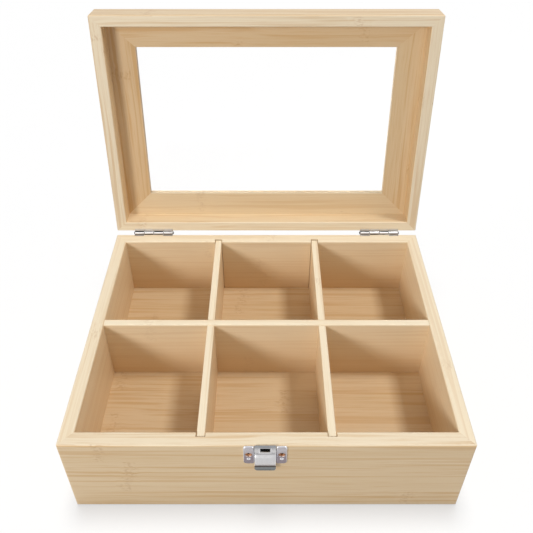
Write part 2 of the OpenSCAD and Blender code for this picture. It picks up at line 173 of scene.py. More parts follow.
def new_material(name):
    """A material without nodes, and a Value to start its nodes from."""
    made = bpy.data.materials.new(name)
    made.use_nodes = True
    made.node_tree.nodes.clear()
    return made, Value(made.node_tree)


def show(start, sockets):
    """Ends a material in one Principled shader with these socket values and links."""
    shader = start.node("ShaderNodeBsdfPrincipled", {}, sockets)
    start.node("ShaderNodeOutputMaterial", {}, {"Surface": shader})


def seen_directly(start):
    """1 for what the camera sees directly, in metal or through the window, else 0."""
    path = start.node("ShaderNodeLightPath")
    rays = path.other("Is Camera Ray") + path.other("Is Glossy Ray") + path.other("Is Transmission Ray")
    return rays.math("MINIMUM", rays, 1.0)


def floor_material():
    made, start = new_material("floor_white")
    glow = seen_directly(start) * FLOOR_GLOW
    show(start, {"Base Color": paint(FLOOR_GREY, FLOOR_GREY, FLOOR_GREY), "Roughness": 0.9,
                 "Specular IOR Level": 0.0,
                 "Emission Color": glow.node("ShaderNodeCombineColor", {}, {0: glow, 1: glow, 2: glow}),
                 "Emission Strength": 1.0})
    return made


floor_mesh = bpy.data.meshes.new("floor")
bm = bmesh.new()
bmesh.ops.create_grid(bm, x_segments=1, y_segments=1, size=FLOOR_SIZE / 2)
bmesh.ops.translate(bm, vec=(0, 0, -FLOOR_GAP * MM), verts=bm.verts)
bm.to_mesh(floor_mesh)
bm.free()
floor_mesh.materials.append(floor_material())
floor = bpy.data.objects.new("floor", floor_mesh)
bpy.context.scene.collection.objects.link(floor)

world = bpy.data.worlds.new("white_room")
bpy.context.scene.world = world
world.use_nodes = True
world.node_tree.nodes.clear()
sky = Value(world.node_tree)
sky_level = ROOM_SHARE + seen_directly(sky) * (1 - ROOM_SHARE)
background = sky.node("ShaderNodeBackground", {}, {"Color": (1, 1, 1, 1), "Strength": sky_level})
sky.node("ShaderNodeOutputWorld", {}, {"Surface": background})

floor_only = bpy.data.collections.new("floor_only")
floor_only.objects.link(floor)
all_but_floor = bpy.data.collections.new("all_but_floor")
all_but_floor.objects.link(floor)
for name, direction, distance, size, share in LAMPS:
    lamp_data = bpy.data.lights.new(name, "AREA")
    lamp_data.shape = "SQUARE"
    lamp_data.size = size
    lamp_data.energy = share * (math.pi * distance) ** 2
    lamp = bpy.data.objects.new(name, lamp_data)
    lamp.location = Vector(direction).normalized() * distance
    lamp.rotation_euler = Vector(direction).to_track_quat("Z", "Y").to_euler()
    lamp.visible_camera = False
    lamp.light_linking.receiver_collection = all_but_floor
    all_but_floor.collection_objects[0].light_linking.link_state = "EXCLUDE"
    bpy.context.scene.collection.objects.link(lamp)

floor_light_data = bpy.data.lights.new("floor_light", "SUN")
floor_light_data.angle = math.radians(FLOOR_LIGHT_SPREAD)
floor_light_data.energy = FLOOR_LIGHT_SHARE * math.pi
floor_light = bpy.data.objects.new("floor_light", floor_light_data)
floor_light.rotation_euler = (-math.radians(FLOOR_LIGHT_LEAN), 0, 0)
floor_light.light_linking.receiver_collection = floor_only
bpy.context.scene.collection.objects.link(floor_light)

# ---- Box walls ----
# Four bamboo boards, planed, eased along their edges and mitred at the corners, under a thin satin lacquer.
# Each is laminated from strips about 20 mm wide, whose cane joints show as small swirls of short dashes.
STRIP = 20.75 * MM
CANE = 300 * MM
# heights over which the painted shade at a board's foot fades out
FOOT_SHADE_FROM, FOOT_SHADE_TO = 20 * MM, 75 * MM
GRAIN_DEPTH = 0.12 * MM
STRAW = paint(230, 203, 163)
WHEAT = paint(223, 192, 146)
HONEY = paint(208, 165, 105)
CARAMEL = paint(196, 146, 84)
AMBER = paint(182, 132, 74)
PALE = paint(250, 237, 210)
LINEN = paint(252, 236, 206)
RIGHT, BACK, UP = Vector((1, 0, 0)), Vector((0, 1, 0)), Vector((0, 0, 1))


def bamboo(name, seed, grain, stack, start_mm=0.0, lean=Matrix.Identity(4), painted_light=0.0, painted_foot_shade=0.0,
           painted_shade_tone=0.0):
    """Bamboo whose fibres run along grain and whose strips lie side by side along stack, from start on.

    Three weights paint light and shade in: one makes the whole board paler, towards linen, as painted
    light where it stands brighter lit than the front wall; one makes it darker, towards caramel, as painted
    shade; and one darkens its foot towards caramel, down in the compartments, as painted shade."""
    made, start = new_material(name)
    board = Matrix((grain, stack.cross(grain), stack)).to_4x4() @ lean.inverted()
    offset = board.translation + Vector((seed * 0.173, seed * 0.091, -start_mm * MM))
    spot = start.node("ShaderNodeTexCoord").other("Object")
    place = spot.node("ShaderNodeMapping", {},
                      {"Vector": spot, "Location": offset, "Rotation": board.to_euler()})
    axes = place.node("ShaderNodeSeparateXYZ", {}, {0: place})
    along, deep, across = axes, axes.other("Y"), axes.other("Z")

    strips = across / STRIP
    own = (strips.floor() + seed * 31.7).chance()
    shade = (strips.floor() + seed * 17.3).chance()
    edge = (strips + 0.5).part() - 0.5
    glue = 1 - edge.size().step(0.004, 0.016)

    # distance from the nearest cane joint of the strip, which leans a little and is uneven
    from_joint = ((along / CANE + own).part() - 0.5) * CANE
    from_joint = from_joint + edge * 0.004 + (place.noise((160, 160, 160), 1) - 0.5) * 0.008
    near = 1 - from_joint.size().step(0.002, 0.0055)
    around = 1 - from_joint.size().step(0.003, 0.024)

    wave = (place.noise((7, 14, 14), 1) - 0.5) * 0.005
    swirl = (place.noise((110, 110, 110), 1) - 0.5) * around * 0.003
    fibre = place.node("ShaderNodeCombineXYZ", {}, {0: along, 1: deep + wave, 2: across + wave + swirl})
    vein = fibre.noise((5, 310, 310), 2).step(0.49, 0.66)
    band = fibre.noise((3, 75, 75), 1).step(0.35, 0.65)
    thread = fibre.noise((24, 1000, 1000), 3, 0.6)
    dash = fibre.noise((300, 820, 820), 2).step(0.46, 0.62) * near

    # the edges of a board are paler than its faces, and so are the veins in them: partly the edge grain's own
    # tone, partly painted light on the top rims that face the lamps
    turned = start.node("ShaderNodeMapping", {"vector_type": "VECTOR"},
                        {"Vector": spot.other("Normal"), "Rotation": board.to_euler()})
    edge_grain_and_light = turned.node("ShaderNodeSeparateXYZ", {}, {0: turned}).other("Z").size().step(0.5, 0.9)
    veined = 1 - edge_grain_and_light * 0.35
    colour = (shade * 0.45 + band * 0.55).blend(STRAW, WHEAT)
    colour = (edge_grain_and_light * 0.80).blend(colour, PALE)
    colour = (vein * veined * 0.70).blend(colour, HONEY)
    colour = (thread.step(0.45, 0.75) * veined * 0.50).blend(colour, HONEY)
    colour = (dash * 0.36).blend(colour, AMBER)
    colour = (glue * 0.10).blend(colour, AMBER)
    # a little paler at random from strip to strip, and paler towards linen by the given weight, as painted
    # light
    colour = (shade * 0.10 + painted_light).blend(colour, LINEN)
    # darker towards caramel by the given weight, as painted shade
    if painted_shade_tone:
        colour = (shade * 0.05 + painted_shade_tone).blend(colour, CARAMEL)
    # darker towards caramel at the board's foot, as painted shade down in the compartments
    if painted_foot_shade:
        height = spot.node("ShaderNodeSeparateXYZ", {}, {0: spot}).other("Z")
        colour = ((1 - height.step(FOOT_SHADE_FROM, FOOT_SHADE_TO)) * painted_foot_shade).blend(colour, CARAMEL)
    show(start, {"Base Color": colour, "Roughness": 0.40 + thread * 0.16, "Coat Weight": 0.2,
                 "Coat Roughness": 0.25,
                 "Normal": (thread * 0.5 + vein * 0.3 + dash).bump(GRAIN_DEPTH, 0.35)})
    return made


def dress(node, made):
    """Gives a CAD node this material."""
    slots = frame["nodes"][node].data.materials
    slots.clear()
    slots.append(made)


dress("front_wall", bamboo("bamboo_front_wall", 1, RIGHT, UP))
# the back and side walls are painted paler than the front wall, as painted light inside the box, and darker
# at their feet, as painted shade
dress("back_wall", bamboo("bamboo_back_wall", 2, RIGHT, UP, painted_light=0.46, painted_foot_shade=0.45))
dress("left_wall", bamboo("bamboo_left_wall", 3, BACK, UP, painted_light=0.32, painted_foot_shade=0.15))
dress("right_wall", bamboo("bamboo_right_wall", 4, BACK, UP, painted_light=0.46, painted_foot_shade=0.20))

# ---- Bottom panel ----
# One bamboo panel, let into grooves in the four walls 12 mm above the table, its strips from side to side.
# painted paler, as painted light, and a little darker towards caramel, as painted shade down in the
# compartments
dress("bottom_panel", bamboo("bamboo_bottom_panel", 5, RIGHT, BACK, painted_light=0.10, painted_foot_shade=0.10))

# ---- Dividers ----
# A cross divider and two long ones, halved over each other. The long ones stand in grooves in the front
# and back walls that are open at the top.
# the dividers are painted paler, as painted light, and darker at their feet, as painted shade
dress("cross_divider", bamboo("bamboo_cross_divider", 6, RIGHT, UP, painted_light=0.48, painted_foot_shade=0.36))
dress("left_divider", bamboo("bamboo_left_divider", 7, BACK, UP, painted_light=0.36, painted_foot_shade=0.25))
dress("right_divider", bamboo("bamboo_right_divider", 8, BACK, UP, painted_light=0.36, painted_foot_shade=0.25))

# ---- Lid rails ----
# Four narrow bamboo rails, mitred like the walls. Each is a single strip thick, and the lid that they make
# leans back by the whole travel of its hinges, so their grain is turned with it.
lid_joint = next(joint for joint in frame["joints"] if joint["name"] == "lid_hinge")
HINGE_AXIS = Vector(lid_joint["pos_m"])
LEAN = (Matrix.Translation(HINGE_AXIS)
        @ Matrix.Rotation(-math.radians(lid_joint["range_deg"][1]), 4, "X")
        @ Matrix.Translation(-HINGE_AXIS))
LID_SEAM = 0.3
RAIL_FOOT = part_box("front_wall")[1].z / MM + LID_SEAM
# side, seed, grain, painted light: how much paler the rail is made, as painted light
for side, seed, grain, painted_light in (("front", 11, RIGHT, 0.15), ("back", 12, RIGHT, 0.25),
                                  ("left", 13, BACK, 0.05), ("right", 14, BACK, 0)):
    node = f"lid_{side}_rail"
    dress(node, bamboo(f"bamboo_{node}", seed, grain, UP, RAIL_FOOT, LEAN, painted_light))

# ---- Window frame ----
# A flat mitred frame let into the lid rails. Its strips lie flat, so the fibres show along each member.
# the front rail and the left stile are darker towards caramel, as painted shade from the lid's rails, and the
# back rail paler, as painted light
dress("window_front_rail", bamboo("bamboo_window_front", 21, RIGHT, BACK, -100, LEAN, painted_shade_tone=0.10))
dress("window_back_rail", bamboo("bamboo_window_back", 22, RIGHT, BACK, 72, LEAN, 0.20))
dress("window_left_stile", bamboo("bamboo_window_left", 23, BACK, RIGHT, -139, LEAN, painted_shade_tone=0.25))
dress("window_right_stile", bamboo("bamboo_window_right", 24, BACK, RIGHT, 112, LEAN))

# ---- Window pane ----
# A clear acrylic sheet in a groove round the frame's opening, almost unseen but for its faint wipe marks.
# Its index is kept low, so that it mirrors next to nothing.
PANE_INDEX = 1.16


def clear_pane():
    made, start = new_material("clear_acrylic")
    place = start.node("ShaderNodeTexCoord").other("Object")
    wiped = place.noise((30, 30, 160), 3).step(0.5, 0.8)
    show(start, {"Base Color": (1, 1, 1, 1), "Roughness": wiped * 0.03, "IOR": PANE_INDEX,
                 "Specular IOR Level": 0.05, "Transmission Weight": 1.0})
    return made


dress("window_pane", clear_pane())
frame["nodes"]["window_pane"].visible_shadow = False

# ---- Hinges ----
# Two nickel-plated butt hinges, each with four rolled knuckles round a pin. Each leaf is screwed to the
# back face and turns a slit lip over the rim, let in flush, with small punched pits in some of its tabs.
HINGE_X = 109.5
HINGE_W = 37
LEAF_H = 13
LEAF_T = 0.9
LEAF_BACK = 2.2
LEAF_EASE = 0.12
FLAT_FROM = 1.6
KNUCKLE_R = 1.8
KNUCKLE_EASE = 0.25
KNUCKLES = 4
KNUCKLE_GAP = 0.6
PIN_R = 0.8
LIP_T = 0.8
SEAM = 0.15
BOX_LIP = 2.2
LID_LIP = 2.4
LIP_SLIT = 0.5
PIT_R = 0.38
HINGE_SCREW_X = 11
HINGE_SCREW_Z = 8.5
HINGE_SCREW_R = 2.3
HINGE_SHANK_R = 1.15
HINGE_SCREW_LONG = 8.3
HEAD_GAP = 0.12
SCREW_TURN = 0.9
AXIS = HINGE_AXIS / MM
# the dark colour painted in as shade in hollows and pits
PAINTED_HOLLOW_SHADE = paint(34, 32, 31)


def metal(name, colour, dark, rough, polish=0.10, fades=(), painted_highlight=None, highlight_up=0.0, painted_dimples=(),
          painted_shade_from=None):
    """Plated metal: fine rubbed streaks, and a duller, darker film in places.

    Each fade (colour, from, to) changes the colour between two heights in millimetres; the fades given to
    the hinges and the latch paint shade and reflections in. Edges that turn sideways, and up as far as a
    given weight says, get a painted highlight, and painted dimples (x, z, radius) get a painted highlight
    on their rims and painted shade in their middles. Behind a given front plane the metal is painted dark,
    as shade in a hollow."""
    made, start = new_material(name)
    place = start.node("ShaderNodeTexCoord").other("Object")
    film = place.noise((240, 240, 240), 3, 0.6).step(0.40, 0.75)
    rubbed = place.noise((500, 6000, 6000), 2)
    grainy = place.noise((2500, 2500, 2500), 2)
    axes = place.node("ShaderNodeSeparateXYZ", {}, {0: place})
    tone = (film * 0.55).blend(colour, dark)
    for faded, fade_from, fade_to in fades:
        low, high = sorted((fade_from, fade_to))
        share = axes.other("Z").step(low * MM, high * MM)
        tone = (share if fade_to > fade_from else 1 - share).blend(tone, faded)
    # painted highlight on edges that turn sideways, and up as far as the given weight says
    if painted_highlight:
        normal = start.node("ShaderNodeTexCoord").other("Normal")
        facing = normal.node("ShaderNodeSeparateXYZ", {}, {0: normal})
        lit_edge = facing.other("Z") * highlight_up + facing.size() * 1.3
        tone = lit_edge.step(0.45, 0.95).blend(tone, painted_highlight)
    # painted dimples: a painted highlight round each rim and painted shade in each middle
    for x, z, radius in painted_dimples:
        aside, over = axes - x * MM, axes.other("Z") - z * MM
        reach = (aside * aside + over * over).math("SQRT", aside * aside + over * over)
        tone = (1 - reach.step(radius * 0.7 * MM, radius * MM)).blend(tone, painted_highlight)
        tone = (1 - reach.step(radius * 0.2 * MM, radius * 0.4 * MM)).blend(tone, PAINTED_HOLLOW_SHADE)
    # painted shade: the metal behind the given front plane is darkened
    if painted_shade_from is not None:
        tone = axes.other("Y").step(painted_shade_from * MM, (painted_shade_from + 0.5) * MM).blend(tone, PAINTED_HOLLOW_SHADE)
    show(start, {"Base Color": tone, "Metallic": 1.0,
                 "Roughness": rough + film * 0.08 + (rubbed - 0.5) * polish,
                 "Normal": (rubbed * 0.5 + grainy).bump(0.02 * MM, 0.25)})
    return made


ALONG_X = Matrix.Rotation(math.radians(90), 4, "Y")
# the brown is painted shade along the hinges' seam, not a colour of the plating
NICKEL, DULL_NICKEL, PAINTED_SEAM_SHADE = paint(222, 220, 218), paint(184, 180, 176), paint(140, 122, 102)
HINGE_NICKEL = metal("hinge_nickel_plate", NICKEL, DULL_NICKEL, 0.34)
# painted shade: the box's leaf darkens round the axis, along the seam between the leaves, and is duller below
# it
BOX_LEAF_NICKEL = metal("hinge_box_leaf_nickel", NICKEL, DULL_NICKEL, 0.34,
                        fades=((PAINTED_SEAM_SHADE, AXIS.z + 1.0, AXIS.z + 0.2), (DULL_NICKEL, AXIS.z, AXIS.z - 0.2)))
# painted shade: the lid's leaf has a thin dark band between its lip and the barrel, a painted shadow, and
# darkens from just above the axis down, along the seam
LID_LEAF_NICKEL = metal("hinge_lid_leaf_nickel", paint(216, 216, 218), paint(198, 198, 200), 0.34,
                        fades=((paint(50, 46, 43), AXIS.z + 2.35, AXIS.z + 2.1),
                               (NICKEL, AXIS.z + 1.8, AXIS.z + 1.5),
                               (PAINTED_SEAM_SHADE, AXIS.z + 1.0, AXIS.z + 0.2)))
# a dark steel pin, its darkness partly painted shade for the gaps between the knuckles
HINGE_PIN_STEEL_AND_SHADE = metal("hinge_pin_steel_and_shade", paint(96, 92, 88), paint(62, 58, 54), 0.40)


def pieces_of(bm, make):
    """The vertices that make() adds to the bmesh."""
    before = set(bm.verts)
    make()
    return [v for v in bm.verts if v not in before]


def block(bm, low, high):
    """A block between two corners."""
    low, high = Vector(low), Vector(high)
    size = high - low
    made = bmesh.ops.create_cube(bm, size=1)["verts"]
    bmesh.ops.scale(bm, vec=size, verts=made)
    bmesh.ops.translate(bm, vec=(low + high) / 2, verts=made)


def drilled_plate(bm, low, high, front, thick, holes, hole_r, segments=32):
    """A plate across Y from front on, between two corners (x, z), with a row of holes [(x, z)] along X."""
    walls = [low[0]] + [(a[0] + b[0]) / 2 for a, b in zip(holes, holes[1:])] + [high[0]]
    faces = []
    for (x, z), left, right in zip(holes, walls, walls[1:]):
        place = Matrix.Translation((x, front, z)) @ Matrix.Rotation(math.radians(90), 4, "X")
        ring = bmesh.ops.create_circle(bm, radius=hole_r, segments=segments, matrix=place)["verts"]
        edges = {e for v in ring for e in v.link_edges}
        outer = bmesh.ops.extrude_edge_only(bm, edges=list(edges))["geom"]
        faces += [g for g in outer if isinstance(g, bmesh.types.BMFace)]
        for v in (g for g in outer if isinstance(g, bmesh.types.BMVert)):
            dx, dz = v.co.x - x, v.co.z - z
            reach = max(abs(dx), abs(dz))
            v.co.x = x + dx / reach * (right - x if dx > 0 else x - left)
            v.co.z = z + dz / reach * (high[1] - z if dz > 0 else z - low[1])
    made = list({v for f in faces for v in f.verts})
    bmesh.ops.remove_doubles(bm, verts=made, dist=0.001)
    faces = [f for f in faces if f.is_valid]
    thickened = bmesh.ops.extrude_face_region(bm, geom=faces)["geom"]
    moved = [g for g in thickened if isinstance(g, bmesh.types.BMVert)]
    bmesh.ops.translate(bm, vec=(0, thick, 0), verts=moved)


def turned(bm, outline, place, closed=False, steps=32):
    """Turns an outline [(radius, height)] round the Z axis and sets the piece in place."""
    def make():
        points = [bm.verts.new((r, 0, h)) for r, h in outline]
        lines = [bm.edges.new(pair) for pair in zip(points, points[1:])]
        if closed:
            lines.append(bm.edges.new((points[-1], points[0])))
        bmesh.ops.spin(bm, geom=points + lines, axis=(0, 0, 1), cent=(0, 0, 0), angle=math.tau,
                       steps=steps, use_merge=True)
    made = pieces_of(bm, make)
    bmesh.ops.remove_doubles(bm, verts=made, dist=0.0005)
    bmesh.ops.transform(bm, matrix=place, verts=[v for v in made if v.is_valid])


def soften(bm, width, segments=3, sharper_than=40):
    """Rounds every edge where two faces meet at more than this angle."""
    bmesh.ops.recalc_face_normals(bm, faces=bm.faces)
    edges = [e for e in bm.edges if len(e.link_faces) == 2
             and e.calc_face_angle() > math.radians(sharper_than)]
    bmesh.ops.bevel(bm, geom=edges, offset=width, segments=segments, profile=0.5, affect="EDGES",
                    material=-1, clamp_overlap=True)


def piece(bm, name, made, body, nodes, place=Matrix.Identity(4), smooth_below=38):
    """Makes the bmesh, drawn in millimetres, a piece that rides on a body and stands for CAD nodes."""
    bmesh.ops.recalc_face_normals(bm, faces=bm.faces)
    bmesh.ops.scale(bm, vec=(MM, MM, MM), verts=bm.verts)
    bmesh.ops.transform(bm, matrix=place, verts=bm.verts)
    for face in bm.faces:
        face.smooth = True
    for edge in bm.edges:
        edge.smooth = len(edge.link_faces) == 2 and edge.calc_face_angle() < math.radians(smooth_below)
    mesh = bpy.data.meshes.new(name)
    bm.to_mesh(mesh)
    bm.free()
    mesh.materials.append(made)
    item = bpy.data.objects.new(name, mesh)
    bpy.context.scene.collection.objects.link(item)
    item.modifiers.new("flat_faces", "WEIGHTED_NORMAL").keep_sharp = True
    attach(item, body)
    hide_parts(*nodes)
    return item


def hinge_leaf(centre_x, up, lip, first_knuckle, tabs, pitted):
    """One leaf in its shut place: up is 1 for the lid's leaf and -1 for the box's."""
    bm = bmesh.new()
    left, right = centre_x - HINGE_W / 2, centre_x + HINGE_W / 2
    front = AXIS.y - LEAF_BACK

    def span(near, far):
        """Two heights from the axis, in rising order."""
        return sorted((AXIS.z + up * near, AXIS.z + up * far))

    low, high = span(FLAT_FROM, LEAF_H)
    holes = [(centre_x + x, AXIS.z + up * HINGE_SCREW_Z) for x in (-HINGE_SCREW_X, HINGE_SCREW_X)]
    drilled_plate(bm, (left, low), (right, high), front, LEAF_T, holes, HINGE_SCREW_R)
    low, high = span(SEAM, KNUCKLE_R)
    block(bm, (left, front, low), (right, front + 0.2, high))
    # the lip over the rim is slit into tabs, and some of them have a punched pit
    low, high = span(SEAM, SEAM + LIP_T)
    pit_low, pit_high = span(SEAM + LIP_T * 0.6, SEAM + LIP_T)
    for k in tabs:
        tab_left = left + HINGE_W / KNUCKLES * k + LIP_SLIT / 2
        tab_right = tab_left + HINGE_W / KNUCKLES - LIP_SLIT
        if k not in pitted:
            block(bm, (tab_left, front - lip, low), (tab_right, front, high))
            continue
        place = Matrix.Translation((0, front, AXIS.z + up * SEAM)) @ Matrix.Rotation(math.radians(90), 4, "X")
        pit = (tab_left * 0.42 + tab_right * 0.58, -lip * 0.5)
        plate = pieces_of(bm, lambda: drilled_plate(
            bm, (tab_left, -lip), (tab_right, 0), 0, up * LIP_T * 0.6, [pit], PIT_R, 16))
        bmesh.ops.transform(bm, matrix=place @ Matrix.Scale(-1, 4, UP), verts=plate)
        block(bm, (tab_left, front - lip, pit_low), (tab_right, front, pit_high))
    soften(bm, LEAF_EASE, 2)
    for k in (first_knuckle, first_knuckle + 2):
        start = left + HINGE_W / KNUCKLES * k + KNUCKLE_GAP / 2
        length = HINGE_W / KNUCKLES - KNUCKLE_GAP
        ease = KNUCKLE_EASE
        rings = [(PIN_R + 0.05, 0), (KNUCKLE_R - ease, 0), (KNUCKLE_R - ease * 0.3, ease * 0.3),
                 (KNUCKLE_R, ease), (KNUCKLE_R, length - ease), (KNUCKLE_R - ease * 0.3, length - ease * 0.3),
                 (KNUCKLE_R - ease, length), (PIN_R + 0.05, length)]
        turned(bm, rings, Matrix.Translation((start, AXIS.y, AXIS.z)) @ ALONG_X, closed=True)
        low, high = span(0, KNUCKLE_R)
        block(bm, (start, front, low), (start + length, front + LEAF_T, high))
    return bm


def countersunk_screw(bm, place, head_r, shank_r, length, turn):
    """A countersunk screw with a cross recess, its head's edge at z = 0 and its point along -Z."""
    arm, half, crown = head_r * 0.62, head_r * 0.22, head_r * 0.09

    def make():
        cross = []
        for quarter in range(4):
            spin = Matrix.Rotation(math.radians(90 * quarter), 3, "Z")
            for x, y in ((half, half), (half, (half + arm) / 2), (half, arm), (0, arm), (-half, arm),
                         (-half, (half + arm) / 2)):
                cross.append(bm.verts.new(spin @ Vector((x, y, crown))))
        mouth = [bm.edges.new(pair) for pair in zip(cross, cross[1:] + cross[:1])]
        rim = bmesh.ops.create_circle(bm, radius=head_r * 0.9, segments=24,
                                      matrix=Matrix.Translation((0, 0, crown * 0.7)))["verts"]
        edges = list({e for v in rim for e in v.link_edges})
        bmesh.ops.bridge_loops(bm, edges=mouth + edges)
        sunk = bmesh.ops.extrude_edge_only(bm, edges=mouth)["geom"]
        pit = [g for g in sunk if isinstance(g, bmesh.types.BMVert)]
        bmesh.ops.scale(bm, vec=(0.5, 0.5, 1), verts=pit)
        bmesh.ops.translate(bm, vec=(0, 0, -head_r * 0.45), verts=pit)
        bmesh.ops.contextual_create(bm, geom=[g for g in sunk if isinstance(g, bmesh.types.BMEdge)
                                              and all(v in pit for v in g.verts)])
        radius = head_r * 0.9
        for next_radius, height in ((head_r, 0), (shank_r, shank_r - head_r), (shank_r, -length),
                                    (shank_r * 0.2, -length - shank_r)):
            ring = bmesh.ops.extrude_edge_only(bm, edges=edges)["geom"]
            points = [g for g in ring if isinstance(g, bmesh.types.BMVert)]
            bmesh.ops.scale(bm, vec=(next_radius / radius, next_radius / radius, 1), verts=points)
            for point in points:
                point.co.z = height
            edges = [g for g in ring if isinstance(g, bmesh.types.BMEdge)
                     and all(v in points for v in g.verts)]
            radius = next_radius
        bmesh.ops.contextual_create(bm, geom=edges)
    bmesh.ops.transform(bm, matrix=place @ Matrix.Rotation(turn, 4, "Z"), verts=pieces_of(bm, make))


def screws(places, head_r, shank_r, length, first_turn):
    """A group of screws, each left at its own turn, in radians."""
    bm = bmesh.new()
    for number, place in enumerate(places):
        countersunk_screw(bm, place, head_r, shank_r, length, first_turn + number * SCREW_TURN)
    return bm


FACE_FRONT = Matrix.Rotation(math.radians(90), 4, "X")
FACE_BACK = Matrix.Rotation(math.radians(-90), 4, "X")
for side, name in ((-1, "left"), (1, "right")):
    piece(hinge_leaf(side * HINGE_X, -1, BOX_LIP, 1, (0, 3), (0, 3)), f"{name}_hinge_lower_leaf",
          BOX_LEAF_NICKEL, "box", [f"{name}_hinge_box_leaf"])
    piece(hinge_leaf(side * HINGE_X, 1, LID_LIP, 0, (0, 1, 2, 3), (1, 3)), f"{name}_hinge_upper_leaf",
          LID_LEAF_NICKEL, "lid", [f"{name}_hinge_lid_leaf"], LEAN)
    bm = bmesh.new()
    half = HINGE_W / 2
    peened = [(0, -half - 0.8), (0.7, -half - 0.75), (1.15, -half - 0.5), (1.3, -half - 0.15), (1.3, -half),
              (PIN_R, -half)]
    turned(bm, peened + [(r, -h) for r, h in reversed(peened)],
           Matrix.Translation((side * HINGE_X, AXIS.y, AXIS.z)) @ ALONG_X)
    piece(bm, f"{name}_hinge_rod", HINGE_PIN_STEEL_AND_SHADE, "box", [f"{name}_hinge_pin"])
for up, body, name, place in ((-1, "box", "hinge_box_screws", Matrix.Identity(4)),
                              (1, "lid", "hinge_lid_screws", LEAN)):
    head_y, head_z = AXIS.y - LEAF_BACK + LEAF_T, AXIS.z + up * HINGE_SCREW_Z
    heads = [Matrix.Translation((side * HINGE_X + x, head_y, head_z)) @ FACE_BACK
             for side in (-1, 1) for x in (-HINGE_SCREW_X, HINGE_SCREW_X)]
    piece(screws(heads, HINGE_SCREW_R - HEAD_GAP, HINGE_SHANK_R, HINGE_SCREW_LONG, 0.3 * up),
          f"{name}_cross_head", HINGE_NICKEL, body, [name], place)

# ---- Latch plate ----
# One satin nickel stamping: two pillowed ears screwed to the front, and between them a pan let into the
# wood, whose cheeks carry the lever's pin.
front_low, front_high = [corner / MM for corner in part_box("front_wall")]
FRONT_Y = front_low.y
RIM_Z = front_high.z
LATCH_X = -0.9
PLATE_T = 1.3
EAR_IN = 7.9
EAR_OUT = 15.3
EAR_H = 21
LATCH_SCREW = (11.6, 9.3)
LATCH_SCREW_R = 2.4
LATCH_SHANK_R = 1.25
LATCH_SCREW_LONG = 8.7
SCREW_SINK = 0.9
# two painted dimples below the screws: a painted highlight ring round a painted dark dot, with no hollow in
# the mesh
PAINTED_DIMPLE_DROP = 14.2
PAINTED_DIMPLE_R = 1.6
PAN_X = 7.75
PAN_DEPTH = 3
PAN_TOP = 3.5
PAN_FOOT = 20.6
SHEET_T = 0.8
# Darker towards the ears' foot, as painted reflection of the darker wood and floor below; painted highlights
# on the edges that turn sideways and up; two painted dimples; painted shade in the pan behind the front face.
PLATE_NICKEL = metal("latch_plate_nickel", paint(182, 178, 182), paint(156, 150, 154), 0.28, 0.10,
                     ((paint(134, 124, 131), RIM_Z - 3, RIM_Z - 13),), paint(232, 233, 238), 0.7,
                     [(LATCH_X + side * LATCH_SCREW[0], RIM_Z - PAINTED_DIMPLE_DROP, PAINTED_DIMPLE_R) for side in (-1, 1)],
                     FRONT_Y + 0.3)


def ear_reach(side, angle):
    """How far the ear's outline is from its screw in this direction: its four corners are rounded."""
    across, up = math.cos(angle), math.sin(angle)
    outer = across * side > 0
    half_w = (EAR_OUT - EAR_IN) / 2
    half_h = LATCH_SCREW[1] if up > 0 else EAR_H - LATCH_SCREW[1]
    radius = (1.5 if up > 0 else 2.8) if outer else 0.6
    reach = min(half_w / max(abs(across), 0.001), half_h / max(abs(up), 0.001))
    corner = Vector((half_w - radius, half_h - radius))
    way = Vector((abs(across), abs(up)))
    if min((way * reach - corner)[:]) > 0:
        along = way.dot(corner)
        reach = along + math.sqrt(along ** 2 - corner.length_squared + radius ** 2)
    return reach


def pillowed_ear(bm, side, steps=96):
    """Rings from the screw hole out over the ear's front, round its edge and back to the wood."""
    screw = Vector((LATCH_X + side * LATCH_SCREW[0], FRONT_Y, RIM_Z - LATCH_SCREW[1]))
    hole = LATCH_SCREW_R + 0.1
    # (from the hole outwards, height above the wood), then (from the outline inwards, height)
    inner = ((0, 0), (0, PLATE_T - 0.26), (0.08, PLATE_T - 0.08), (0.26, PLATE_T))
    outer = ((1.15, PLATE_T), (0.78, PLATE_T - 0.07), (0.47, PLATE_T - 0.20), (0.23, PLATE_T - 0.39),
             (0.07, PLATE_T - 0.63), (0, PLATE_T - 0.90), (0, 0))
    rings = []
    for inset, out in inner:
        rings.append([(hole + inset, out)] * steps)
    for inset, out in outer:
        ring = []
        for k in range(steps):
            reach = ear_reach(side, math.tau * k / steps)
            room = min(1.0, (reach - hole - 0.30) / 1.15)
            ring.append((reach - inset * room, out))
        rings.append(ring)
    grid = []
    for ring in rings:
        line = []
        for k, (radius, out) in enumerate(ring):
            angle = math.tau * k / steps
            point = Vector((radius * math.cos(angle), -out, radius * math.sin(angle)))
            line.append(bm.verts.new(screw + point))
        grid.append(line)
    for first, second in zip(grid, grid[1:] + grid[:1]):
        for k in range(steps):
            bm.faces.new((first[k], first[(k + 1) % steps], second[(k + 1) % steps], second[k]))


def latch_plate():
    bm = bmesh.new()
    # the pan: two cheeks and a back
    deep = FRONT_Y + PAN_DEPTH
    for side in (-1, 1):
        left, right = sorted((LATCH_X + side * PAN_X, LATCH_X + side * (PAN_X + SHEET_T)))
        block(bm, (left, FRONT_Y - 0.8, RIM_Z - PAN_FOOT), (right, deep, RIM_Z - PAN_TOP))
    block(bm, (LATCH_X - PAN_X - SHEET_T, deep - SHEET_T, RIM_Z - PAN_FOOT),
          (LATCH_X + PAN_X + SHEET_T, deep, RIM_Z - PAN_TOP))
    soften(bm, 0.08, 2)
    for side in (-1, 1):
        pillowed_ear(bm, side)
    return bm


piece(latch_plate(), "latch_ears_and_pan", PLATE_NICKEL, "box", ["latch_plate"])

